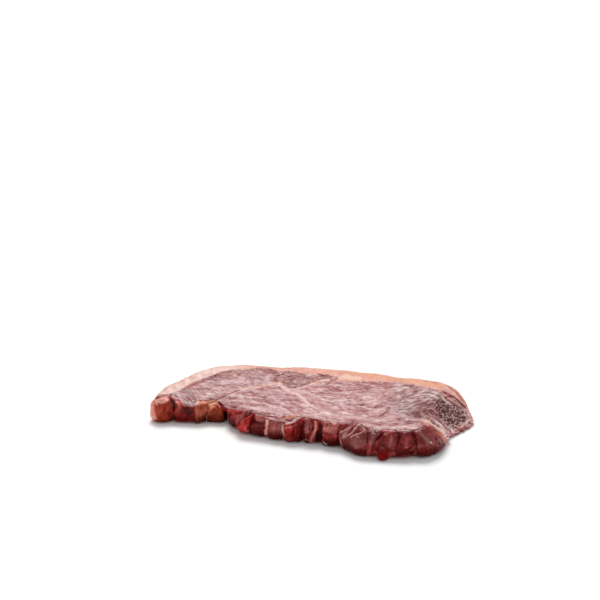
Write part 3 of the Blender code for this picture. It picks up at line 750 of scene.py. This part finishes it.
def even_mesh(node):
    """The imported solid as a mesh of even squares."""
    copy = bpy.data.objects.new("even", node.data.copy())
    bpy.context.collection.objects.link(copy)
    remesh = copy.modifiers.new("even", "REMESH")
    remesh.mode = "VOXEL"
    remesh.voxel_size = CELL
    bpy.context.view_layer.update()
    mesh = bpy.data.meshes.new_from_object(copy.evaluated_get(bpy.context.evaluated_depsgraph_get()))
    bpy.data.objects.remove(copy)
    return mesh


def mesh_points(mesh):
    """The mesh's corners as an array."""
    points = np.zeros(len(mesh.vertices) * 3)
    mesh.vertices.foreach_get("co", points)
    return points.reshape(-1, 3)


def mesh_normals(mesh):
    """The mesh's normals at its corners, as an array."""
    normals = np.zeros(len(mesh.vertices) * 3)
    mesh.vertex_normals.foreach_get("vector", normals)
    return normals.reshape(-1, 3)


def set_points(mesh, points):
    """Moves the mesh's corners."""
    mesh.vertices.foreach_set("co", points.astype(np.float32).ravel())
    mesh.update()


def halved(mesh, chosen):
    """Splits the chosen faces of a mesh into quarters. chosen takes a face's middle and normal."""
    work = bmesh.new()
    work.from_mesh(mesh)
    edges = {e for f in work.faces if chosen(f.calc_center_median(), f.normal) for e in f.edges}
    bmesh.ops.subdivide_edges(work, edges=list(edges), cuts=1, use_grid_fill=True)
    work.to_mesh(mesh)
    work.free()
    mesh.update()


def off_foot(points):
    """0 on the flat foot, which stays where it is, and 1 above it."""
    return ease(points[:, 2] / FOOT_HEIGHT - 0.3)


def smoothed(mesh, steps):
    """Evens the mesh out without shrinking it. The flat foot stays where it is."""
    points = mesh_points(mesh)
    pairs = np.zeros(len(mesh.edges) * 2, dtype=np.int64)
    mesh.edges.foreach_get("vertices", pairs)
    pairs = pairs.reshape(-1, 2)
    count = np.bincount(pairs.ravel(), minlength=len(points)).astype(float)
    free = off_foot(points)
    for _ in range(steps):
        for push in (SMOOTH_PUSH, SMOOTH_PULL):
            mean = np.empty_like(points)
            for axis in range(3):
                total = np.bincount(pairs[:, 0], points[pairs[:, 1], axis], len(points))
                total += np.bincount(pairs[:, 1], points[pairs[:, 0], axis], len(points))
                mean[:, axis] = total / count
            points += (push * free)[:, None] * (mean - points)
    points[:, 2] = np.maximum(points[:, 2], 0.0)
    set_points(mesh, points)


def to_pixels(points):
    """Where points fall in the photograph's frame."""
    right = np.array(CAMERA_RIGHT)
    ahead = unit(CAMERA_AHEAD)
    off = points - np.array(CAMERA_PLACE)
    scale = FOCAL_PIXELS / (off @ ahead)
    middle = FRAME_PIXELS / 2
    return np.stack([middle + scale * (off @ right), middle - scale * (off @ np.cross(right, ahead))], axis=1)


def above_foot(middle, normal):
    """True for every face but those of the flat underside."""
    return normal.z >= TURNED_DOWN or middle.z >= UNDERSIDE_TOP


def needs_fine_cells(middle, normal):
    """True on the front side and on the right end, which carry the finest relief."""
    facing = -normal.dot(Vector(CAMERA_AHEAD))
    if facing < LEAST_FACING or not above_foot(middle, normal):
        return False
    x, y = to_pixels(np.array([middle]))[0]
    return facing > FRONT_FACING or (x > FINE_FROM_X and y > FINE_FROM_Y)


class Skin:
    """The surface being painted and carved: places, pixels, pigment and relief."""

    def __init__(self, mesh):
        self.mesh = mesh
        self.points = mesh_points(mesh)
        self.normals = mesh_normals(mesh)
        self.pixels = to_pixels(self.points)
        self.up = self.normals[:, 2]
        self.seen = ease(-(self.normals @ unit(CAMERA_AHEAD)) / SEEN_SOFTNESS)
        self.under = ease((-self.up - 0.4) / 0.3)
        self.colour = np.zeros((len(self.points), 3))
        self.relief = np.zeros(len(self.points))
        self.gloss = np.ones(len(self.points))
        grain = Grain(11)
        small = self.points / (WANDER_SIZE * MM)
        self.warp = np.stack([grain.layered(small, 2), grain.layered(small + WANDER_SHIFT, 2)], axis=1)
        self.spots = self.pixels + self.warp * np.array(WANDER_PIXELS)
        # Places in plan, to the camera's right and away from it, in mm
        across = np.array([-CAMERA_RIGHT[1], CAMERA_RIGHT[0], 0.0])
        self.run = self.points @ np.array(CAMERA_RIGHT) / MM
        self.across = self.points @ across / MM
        self.height = self.points[:, 2] / MM
        # Shares that lay_zones, lay_lobes and lay_grain fill in
        nowhere = np.zeros(len(self.points))
        self.hollow = nowhere
        self.shown = nowhere
        self.front = nowhere
        self.fat = nowhere
        self.wall = nowhere
        self.patch = nowhere

    def pattern(self, seed, size, layers):
        """A random field over the surface, with waves of that size in mm."""
        return Grain(seed).layered(self.points / (np.array(size) * MM), layers)

    def paint(self, weight, tone):
        """Lays a tone over the colour."""
        light = seen_to_light(TONES[tone]) if isinstance(tone, str) else tone
        self.colour += weight[:, None] * (light - self.colour)

    def shade(self, weight):
        """Brightens or darkens by a share."""
        self.colour *= np.exp(weight)[:, None]


def plan_coordinates(skin, run, across, turn=0.0):
    """Coordinates for stretched patterns on the top: one unit is run or across mm."""
    along, aside = rotated(skin.run, skin.across, turn)
    return np.stack([along / run, aside / across, skin.height / PATTERN_HEIGHT], axis=1)


def flowing(skin, seed, length, width, layers=2):
    """A random field of streaks that follow FLOWS, length by width in pixels."""
    x, y = skin.spots.T
    total = np.zeros(len(x))
    squares = np.zeros(len(x))
    for k, (middle_x, middle_y, reach, turn) in enumerate(FLOWS):
        away = (x - middle_x) ** 2 + (FLOW_FLATNESS * (y - middle_y)) ** 2
        weight = np.exp(-away / reach**2) + LEAST_FLOW
        along, aside = rotated(x, y, turn)
        places = np.stack([along / length, aside / width, skin.height / PATTERN_HEIGHT], axis=1)
        total += weight * Grain(seed + k).layered(places, layers)
        squares += weight**2
    return total / np.sqrt(squares)


def lay_base(skin):
    """Pigment of the parts that the zones don't reach: fat on the back and left sides, meat underneath."""
    patches = skin.pattern(21, 14, 3)
    streaks = skin.pattern(22, (22, 10, 5), 3)
    skin.colour[:] = seen_to_light(TONES["cap_side"])
    skin.paint(ease(patches * 1.1) * 0.6, "cap_left")
    skin.paint(ease(-patches * 1.2) * 0.5, "orange")
    skin.paint(ease(streaks - 0.15) * 0.5, "rose")
    meat = skin.pattern(23, (26, 9, 9), 4)
    low = ease((-skin.up - 0.1) / 0.5)
    skin.paint(low, "underside")
    skin.paint(low * ease(meat * 1.3) * 0.6, "flesh_dark")
    skin.paint(low * ease(-meat * 1.3 - 0.1) * 0.6, "rose")
    x, y = skin.points[:, :2].T / MM
    lean = ease((FAT_FROM_Y - y) / FAT_SOFTNESS[1]) * ease((x - FAT_TO_X) / FAT_SOFTNESS[0])
    skin.paint(lean * (1 - low), "flesh")
    edge = FAT_BELOW_FROM_Y + FAT_BELOW_WANDER * patches
    skin.paint(ease((y - edge) / FAT_BELOW_SOFTNESS) * low, "cap_side")


def lay_zones(skin):
    """The muscles and the fat cap of the top, and where the front side starts."""
    places = skin.spots
    rim_x, rim_y = pixels(RIM_LINE).T
    below = places[:, 1] + RIM_WANDER * skin.pattern(25, 9.0, 3) - np.interp(places[:, 0], rim_x, rim_y)
    x, y = skin.points[:, :2].T / MM
    hollow = ease((x - HOLLOW_FROM_X) / HOLLOW_SOFTNESS)
    hollow *= ease((y - HOLLOW_FROM_Y) / HOLLOW_SOFTNESS) * ease((HOLLOW_TO_Y - y) / HOLLOW_SOFTNESS)
    skin.hollow = hollow * np.maximum(ease(1 + below / HOLLOW_RIM), 1 - skin.seen) * (1 - skin.under)
    skin.shown = skin.seen * (1 - skin.hollow)
    skin.front = skin.shown * ease(0.5 + below / RIM_SOFTNESS)
    cap = inside(CAP_ZONE, places, CAP_SOFTNESS)
    lean = skin.seen * (1 - cap)
    skin.paint(lean, "muscle_mid")
    skin.paint(lean * skin.front, "flesh")
    for tone, soft, outline in TOP_ZONES:
        skin.paint(inside(outline, places, soft) * skin.seen * (1 - skin.front), tone)
    fat = cap * skin.seen
    across = ease((places[:, 0] - CAP_BACK_FROM) / CAP_BACK_OVER)
    skin.paint(fat * (1 - across), "cap_left")
    skin.paint(fat * across, "cap_back")
    skin.paint(inside(CAP_END, places, CAP_END_SOFTNESS) * skin.seen * 0.8, "cap_end")
    skin.fat = np.maximum(fat, (1 - skin.seen) * (1 - skin.under))


def lay_lobes(skin):
    """The lobes of the front side, each with a tone at its top and one at its foot; the darker foot tone is
    painted shade.
    """
    # 0 at the foot, where the foot tone's painted shade shows, to 1 higher up
    drop = ease((skin.height - WALL_TONE_LOW) / WALL_TONE_RISE)[:, None]
    ragged = BORDER_WANDER * skin.pattern(26, BORDER_LENGTH, 3)
    low_front = ease((skin.front - 0.6) / 0.4)
    for top_tone, foot_tone, bulge, outline in WALL_ZONES:
        depth = inside_depth(outline, skin.spots) + ragged
        weight = ease(0.5 + depth / (2 * WALL_ZONE_SOFTNESS)) * skin.shown
        weight *= LOBE_ON_TOP + (1 - LOBE_ON_TOP) * skin.front
        foot = seen_to_light(TONES[foot_tone])
        skin.paint(weight, foot + drop * (seen_to_light(TONES[top_tone]) - foot))
        skin.relief += bulge * ease(depth / BULGE_REACH) * weight
        if abs(bulge) > LEAST_LOBE:
            skin.relief -= CREASE_DEPTH * np.exp(-((depth / CREASE_WIDTH) ** 2)) * low_front
        skin.wall = np.maximum(skin.wall, weight)
    skin.gloss -= 0.75 * skin.front * (1 - 0.6 * drop[:, 0])
    skin.paint(skin.hollow, "muscle_right")


def lay_grain(skin):
    """The dark grainy patch: a net of slanting raised ridges with painted glints, round dark pits."""
    depth = inside_depth(GRAIN_ZONE, skin.spots) + GRAIN_EDGE_WANDER * skin.pattern(33, 8.0, 2)
    patch = ease(0.5 + depth / (2 * GRAIN_SOFTNESS)) * skin.seen
    along, aside = rotated(*(skin.spots + GRAIN_WANDER * skin.warp).T, GRAIN_TURN)
    slanted = np.stack([along / GRAIN_LENGTH, aside / GRAIN_WIDTH, skin.across / GRAIN_DEPTH], axis=1)
    near, second = Grain(31).cells(slanted)
    fine = Grain(32).layered(slanted * 1.7, 2)
    net = ease(0.70 - (second - near) * 3.0 + 0.45 * fine)
    skin.paint(patch * 0.9, "grain_gap")
    # painted glints on the net's ridges
    skin.paint(patch * net * 0.92, "grain_glint")
    skin.relief += patch * (1.4 * net - 0.7 + 0.2 * fine)
    skin.gloss -= 0.85 * patch * (1 - net)
    skin.patch = patch


def lay_wrinkles(skin):
    """Folds, creases and mottling of the muscles, with painted shade in the creases and low folds and painted
    sheen on the ridges and rises.
    """
    muscle = skin.seen * (1 - skin.front) * (1 - skin.fat) * (1 - skin.patch)
    slow = Grain(41).layered(plan_coordinates(skin, 30, 24), 2)
    broad = flowing(skin, 100, 20.0, 3.2)
    crease = flowing(skin, 120, 18.0, 2.8)
    crest = flowing(skin, 180, 16.0, 2.4)
    fine = flowing(skin, 140, 8.0, 1.8)
    tiny = Grain(44).layered(plan_coordinates(skin, 3.0, 3.2, 4), 2)
    groove = ease(1 - 5.5 * np.abs(crease)) * ease(0.8 - broad)
    ridge = ease(1 - 4.5 * np.abs(crest)) * ease(0.8 + broad) * (1 - groove)
    skin.relief += muscle * (0.50 * broad + 0.18 * fine + 0.06 * tiny - 0.60 * groove + 0.40 * ridge)
    # brighter where the folds rise and darker where they sink, following the relief: painted light and shade;
    # slow adds random mottling
    skin.shade(muscle * (0.08 * slow + 0.08 * broad + 0.15 * fine + 0.11 * tiny))
    # the dark fold tone is painted shade in the creases and low folds, the pale tone painted sheen on the
    # ridges and rises
    skin.paint(muscle * ease(-fine * 1.6 - broad - 0.2) * 0.58, "fold_shade")
    skin.paint(muscle * groove * 0.75, "fold_shade")
    skin.paint(muscle * ridge * 0.65, "pale")
    skin.paint(muscle * ease(fine * 1.5 + broad * 1.2 - 0.2) * 0.55, "pale")
    right = muscle * ease((skin.pixels[:, 0] - RIGHT_FOLDS_FROM) / RIGHT_FOLDS_OVER)
    deep = flowing(skin, 160, 12.0, 2.2)
    skin.relief += right * 0.60 * deep
    # painted shade in the deep folds' troughs, painted sheen on their rises
    skin.paint(right * ease(-deep * 1.8 - 0.1) * 0.75, "crease_shade_grey")
    skin.paint(right * ease(deep * 1.8 - 0.1) * 0.65, "silver_sheen")


def lay_roughness(skin):
    """Ribs and lobules of the fat, and the lumps and specks of the front side, each brighter where it rises
    and darker where it sinks: painted light and shade.
    """
    fat = skin.fat * (1 - skin.under)
    ribs = Grain(51).layered(plan_coordinates(skin, 6, 14, 20), 3)
    lobules = skin.pattern(52, 3.2, 2)
    skin.relief += fat * (0.40 * ribs + 0.20 * lobules)
    # brighter on the ribs' and lobules' rises, darker in their dips: painted light and shade
    skin.shade(fat * (0.14 * ribs + 0.09 * lobules))
    skin.paint(fat * ease(-ribs * 1.5 - 0.3) * 0.35, "rose")
    skin.paint(fat * ease(lobules * 1.5 - 0.4) * 0.3, "cream")

    wall = skin.wall * skin.front
    rough = skin.pattern(61, 3.6, 3)
    specks = skin.pattern(62, 1.6, 2)
    lumps = skin.pattern(63, 8.0, 2)
    skin.relief += wall * (0.9 * lumps + 0.50 * rough + 0.14 * specks)
    # brighter on the lumps, darker between them: painted light and shade; the light lobe tone on the upper
    # lumps is a painted highlight
    skin.shade(wall * (0.26 * lumps + 0.26 * rough + 0.16 * specks))
    skin.paint(wall * ease(lumps * 1.2 + rough - 0.5) * ease((skin.height - 4.0) / 6.0) * 0.35, "lobe_highlight")


def lay_fibres(skin):
    """Stripes of muscle fibre on the front side."""
    for k, (outline, turn, width, length, colour, relief) in enumerate(FIBRES):
        weight = inside(outline, skin.spots, FIBRE_SOFTNESS) * skin.front
        along, aside = rotated(*skin.pixels.T, turn)
        places = np.stack([along / length, aside / width, skin.warp[:, 0] * 0.3], axis=1)
        stripes = Grain(71 + k).layered(places, 2)
        skin.relief += weight * relief * stripes
        skin.shade(weight * colour * stripes)


def lay_lines(skin, lines, hardness, force):
    """Grooves, ridges and streaks that follow a line of pixels."""
    for tone, half, relief, strength, points in lines:
        line = smooth_line(points)
        low = line.min(axis=0) - 4 * half
        high = line.max(axis=0) + 4 * half
        in_reach = np.all((skin.spots > low) & (skin.spots < high), axis=1)
        close = np.flatnonzero(in_reach & (skin.shown > 0.01))
        if not len(close):
            continue
        gap, along = nearest(line, skin.spots[close])
        taper = TIP_WIDTH + (1 - TIP_WIDTH) * np.sin(np.pi * along) ** 0.5
        weight = np.exp(-((gap / (half * taper)) ** hardness) * 0.9) * skin.shown[close]
        skin.relief[close] += weight * relief
        light = seen_to_light(TONES[tone])
        skin.colour[close] += (weight * strength * force)[:, None] * (light - skin.colour[close])


def lay_spots(skin):
    """Round marks; the white and pale ones are painted glints."""
    for x, y, length, width, turn, tone, strength, relief in SPOTS:
        along, aside = rotated(*(skin.spots - np.array([x, y])).T, turn)
        weight = ease(1.6 - 1.2 * np.hypot(along / length, aside / width)) * skin.shown
        skin.relief += weight * relief
        skin.paint(weight * strength, tone)


def carve(skin):
    """Moves the surface by its relief, within the solid's box."""
    points = skin.points + skin.normals * (skin.relief * MM * off_foot(skin.points))[:, None]
    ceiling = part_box("steak")[1][2] + HEADROOM
    over = points[:, 2] - (ceiling - 2 * HEADROOM)
    points[:, 2] -= np.where(over > 0, over * 0.5, 0.0)
    points[:, 2] = np.clip(points[:, 2], 0.0, ceiling)
    set_points(skin.mesh, points)


def pigment(skin):
    """The colour that the material needs so that the lit surface shows the colour laid on it."""
    open_sky = ease((skin.up - 0.3) / 0.7) * (1 - 0.6 * skin.front) * (1 - 0.45 * skin.patch)
    light = LIGHT_ON_SIDE + (LIGHT_ON_TOP - LIGHT_ON_SIDE) * open_sky[:, None]
    sheen = (SHEEN_ON_SIDE + (SHEEN_ON_TOP - SHEEN_ON_SIDE) * open_sky[:, None]) * skin.gloss[:, None]
    return np.clip(np.maximum((skin.colour - sheen) / light, LEAST_PIGMENT * skin.colour), 0.003, 0.92)


def write_attributes(skin):
    """Stores pigment and wetness on the mesh."""
    colour = skin.mesh.color_attributes.new("pigment", "FLOAT_COLOR", "POINT")
    values = np.ones((len(skin.points), 4), np.float32)
    values[:, :3] = pigment(skin)
    colour.data.foreach_set("color", values.ravel())
    film = skin.mesh.attributes.new("gloss", "FLOAT", "POINT")
    film.data.foreach_set("value", (0.5 * skin.gloss).astype(np.float32))
    wet = skin.mesh.attributes.new("dryness", "FLOAT", "POINT")
    dryness = 0.42 + 0.10 * skin.fat + 0.08 * skin.warp[:, 1] - 0.08 * skin.front
    wet.data.foreach_set("value", np.clip(dryness, 0.15, 0.8).astype(np.float32))


def add_node(tree, kind, options, values, sources):
    """Adds a node with its options and its sockets' values, and links sources to its sockets by name."""
    node = tree.nodes.new(kind)
    for name, value in options.items():
        setattr(node, name, value)
    for name, value in values.items():
        node.inputs[name].default_value = value
    for name, source in sources.items():
        tree.links.new(source, node.inputs[name])
    return node


def attribute(tree, name):
    """An attribute of the mesh."""
    return add_node(tree, "ShaderNodeAttribute", {"attribute_name": name}, {}, {})


def noise(tree, place, scale, detail):
    """A noise pattern's value."""
    node = add_node(tree, "ShaderNodeTexNoise", {}, {"Scale": scale, "Detail": detail}, {"Vector": place})
    return node.outputs["Fac"]


def spread(tree, value, to, start=(0.0, 1.0)):
    """A value that goes over the range start, turned into one that goes over the range to."""
    ends = {"From Min": start[0], "From Max": start[1], "To Min": to[0], "To Max": to[1]}
    return add_node(tree, "ShaderNodeMapRange", {}, ends, {"Value": value}).outputs["Result"]


def skin_material():
    """Raw meat and fat: laid pigment with fine mottling, a wet film and a little depth."""
    material = bpy.data.materials.new("raw_meat")
    material.use_nodes = True
    tree = material.node_tree
    shader = tree.nodes["Principled BSDF"]
    shader.inputs["IOR"].default_value = MEAT_IOR
    shader.inputs["Subsurface Weight"].default_value = DEPTH_WEIGHT
    shader.inputs["Subsurface Radius"].default_value = DEPTH_RADIUS
    shader.inputs["Subsurface Scale"].default_value = DEPTH_SCALE

    place = tree.nodes.new("ShaderNodeTexCoord").outputs["Object"]
    stretch = {"Rotation": (0.0, 0.0, PATTERN_TURN), "Scale": PATTERN_STRETCH}
    turned = add_node(tree, "ShaderNodeMapping", {}, stretch, {"Vector": place}).outputs["Vector"]
    mottle = spread(tree, noise(tree, turned, MOTTLE_SCALE, PATTERN_DETAIL), MOTTLE_TO, MOTTLE_FROM)
    laid = attribute(tree, "pigment").outputs["Color"]
    tinted = add_node(tree, "ShaderNodeVectorMath", {"operation": "SCALE"}, {}, {0: laid, "Scale": mottle})
    tree.links.new(tinted.outputs["Vector"], shader.inputs["Base Color"])

    tree.links.new(attribute(tree, "gloss").outputs["Fac"], shader.inputs["Specular IOR Level"])
    dry = attribute(tree, "dryness").outputs["Fac"]
    uneven = spread(tree, noise(tree, place, WETNESS_SCALE, WETNESS_DETAIL), WETNESS_TO)
    rough = add_node(tree, "ShaderNodeMath", {"operation": "ADD"}, {}, {0: dry, 1: uneven})
    tree.links.new(rough.outputs["Value"], shader.inputs["Roughness"])

    height = noise(tree, turned, BUMP_SCALE, PATTERN_DETAIL)
    depth = {"Strength": BUMP_STRENGTH, "Distance": BUMP_DEPTH}
    bump = add_node(tree, "ShaderNodeBump", {}, depth, {"Height": height})
    tree.links.new(bump.outputs["Normal"], shader.inputs["Normal"])
    return material


def make_steak(node):
    """The steak's skin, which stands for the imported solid."""
    mesh = even_mesh(node)
    halved(mesh, above_foot)
    smoothed(mesh, SMOOTHING_STEPS)
    halved(mesh, needs_fine_cells)
    smoothed(mesh, FINE_SMOOTHING_STEPS)
    skin = Skin(mesh)
    lay_base(skin)
    lay_zones(skin)
    lay_lobes(skin)
    lay_grain(skin)
    lay_wrinkles(skin)
    lay_roughness(skin)
    lay_fibres(skin)
    lay_lines(skin, TOP_LINES, TOP_HARDNESS, TOP_FORCE)
    lay_lines(skin, WALL_LINES, WALL_HARDNESS, WALL_FORCE)
    lay_spots(skin)
    # painted shade in the grooves and painted light on the ridges, by the relief
    skin.shade(0.10 * np.clip(skin.relief, -2.0, 1.0))
    carve(skin)
    write_attributes(skin)
    mesh.polygons.foreach_set("use_smooth", np.ones(len(mesh.polygons), bool))
    mesh.materials.clear()
    mesh.materials.append(skin_material())
    mesh.name = "steak_skin"
    steak = bpy.data.objects.new("steak_skin", mesh)
    bpy.context.collection.objects.link(steak)
    return steak


def make_camera():
    """The photograph's camera."""
    ahead = Vector(CAMERA_AHEAD).normalized()
    right = Vector(CAMERA_RIGHT).normalized()
    up = right.cross(ahead)
    data = bpy.data.cameras.new("camera")
    data.sensor_width = SENSOR_WIDTH
    data.lens = FOCAL_PIXELS * SENSOR_WIDTH / FRAME_PIXELS
    data.clip_end = CLIP_END
    camera = bpy.data.objects.new("camera", data)
    bpy.context.collection.objects.link(camera)
    camera.matrix_world = Matrix(
        (
            (right.x, up.x, -ahead.x, CAMERA_PLACE[0]),
            (right.y, up.y, -ahead.y, CAMERA_PLACE[1]),
            (right.z, up.z, -ahead.z, CAMERA_PLACE[2]),
            (0.0, 0.0, 0.0, 1.0),
        )
    )
    bpy.context.scene.camera = camera


def soft_light():
    """A broad soft light from behind and above."""
    data = bpy.data.lights.new("sky_light", "SUN")
    data.energy = SKY_POWER
    data.angle = SKY_SPREAD
    light = bpy.data.objects.new("sky_light", data)
    bpy.context.collection.objects.link(light)
    light.rotation_euler = (-Vector(SKY_TOWARDS)).to_track_quat("-Z", "Y").to_euler()


def make_floor():
    """A wide pale floor, faintly clouded."""
    half = FLOOR_SIZE / 2
    corners = [(x * half, y * half, FLOOR_LEVEL) for x, y in ((-1, -1), (1, -1), (1, 1), (-1, 1))]
    mesh = bpy.data.meshes.new("floor")
    mesh.from_pydata(corners, [], [(0, 1, 2, 3)])
    material = bpy.data.materials.new("floor")
    material.use_nodes = True
    tree = material.node_tree
    shader = tree.nodes["Principled BSDF"]
    shader.inputs["Roughness"].default_value = FLOOR_ROUGHNESS
    shader.inputs["IOR"].default_value = FLOOR_IOR
    cloudy = add_node(tree, "ShaderNodeTexNoise", {}, {"Scale": FLOOR_CLOUD_SCALE}, {}).outputs["Fac"]
    tones = {"A": (*FLOOR_COLOUR, 1.0), "B": (*[c * FLOOR_CLOUDS for c in FLOOR_COLOUR], 1.0)}
    tint = add_node(tree, "ShaderNodeMix", {"data_type": "RGBA"}, tones, {"Factor": cloudy})
    tree.links.new(tint.outputs["Result"], shader.inputs["Base Color"])
    mesh.materials.append(material)
    floor = bpy.data.objects.new("floor", mesh)
    bpy.context.collection.objects.link(floor)


def make_studio():
    """Even white surroundings, one soft light and a pale floor."""
    world = bpy.data.worlds.new("studio")
    world.use_nodes = True
    tree = world.node_tree
    background = tree.nodes["Background"]
    background.inputs["Color"].default_value = (*WORLD_COLOUR, 1.0)
    place = tree.nodes.new("ShaderNodeTexCoord").outputs["Generated"]
    split = add_node(tree, "ShaderNodeSeparateXYZ", {}, {}, {"Vector": place})
    level = spread(tree, split.outputs["Z"], (WORLD_LIGHT_LOW, WORLD_LIGHT_HIGH))
    tree.links.new(level, background.inputs["Strength"])
    bpy.context.scene.world = world
    bpy.context.scene.view_settings.view_transform = "Standard"
    soft_light()
    make_floor()


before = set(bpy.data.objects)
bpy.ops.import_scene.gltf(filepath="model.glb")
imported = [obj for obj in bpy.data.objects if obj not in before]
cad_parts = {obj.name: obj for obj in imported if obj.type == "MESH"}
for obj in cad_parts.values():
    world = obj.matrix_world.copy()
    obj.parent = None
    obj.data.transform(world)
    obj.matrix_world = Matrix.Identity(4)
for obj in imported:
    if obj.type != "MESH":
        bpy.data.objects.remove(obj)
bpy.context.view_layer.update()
make_camera()
make_studio()
steak = make_steak(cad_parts["steak"])
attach(steak, "root")
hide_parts("steak")
bpy.context.view_layer.update()
